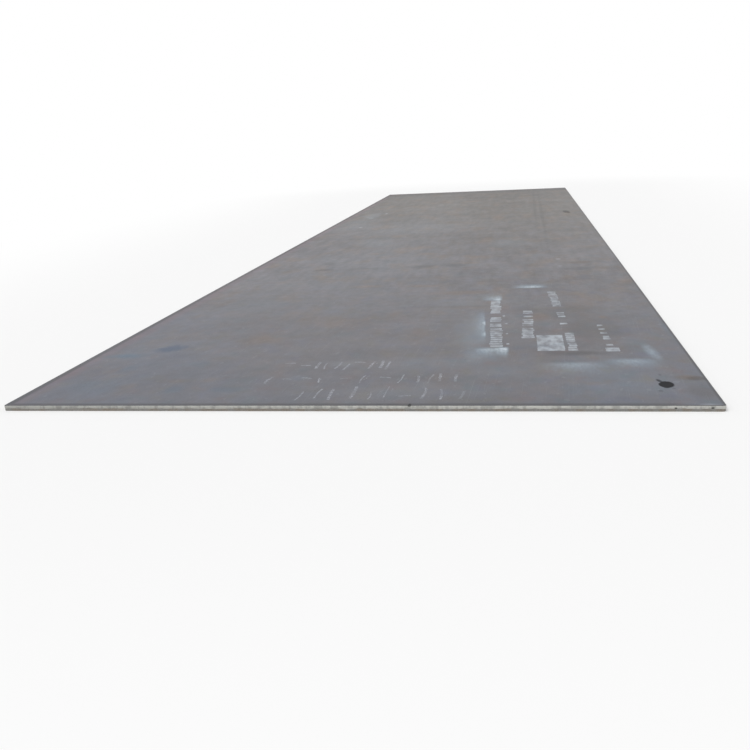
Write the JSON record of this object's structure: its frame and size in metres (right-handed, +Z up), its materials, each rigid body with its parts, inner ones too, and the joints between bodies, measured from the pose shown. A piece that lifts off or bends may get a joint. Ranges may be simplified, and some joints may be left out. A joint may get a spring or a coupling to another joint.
{
  "type": "steel plate",
  "caption": "Flat rectangular hot-rolled steel plate with mill scale on its faces and sheared edges, as sold for cutting, welding and fabrication.",
  "frame": {"origin": "the middle of the bottom face, on the surface that the plate lies on", "axes": "+Y along the plate's length, away from the end that the picture shows nearest; +X across its width, to the right seen from that end; +Z up, out of the top face"},
  "size_m": [2, 8, 0.016],
  "materials": {
    "mill_scale": "matte"
  },
  "bodies": {
    "root": {"steel_plate": "mill_scale"}
  },
  "joints": []
}
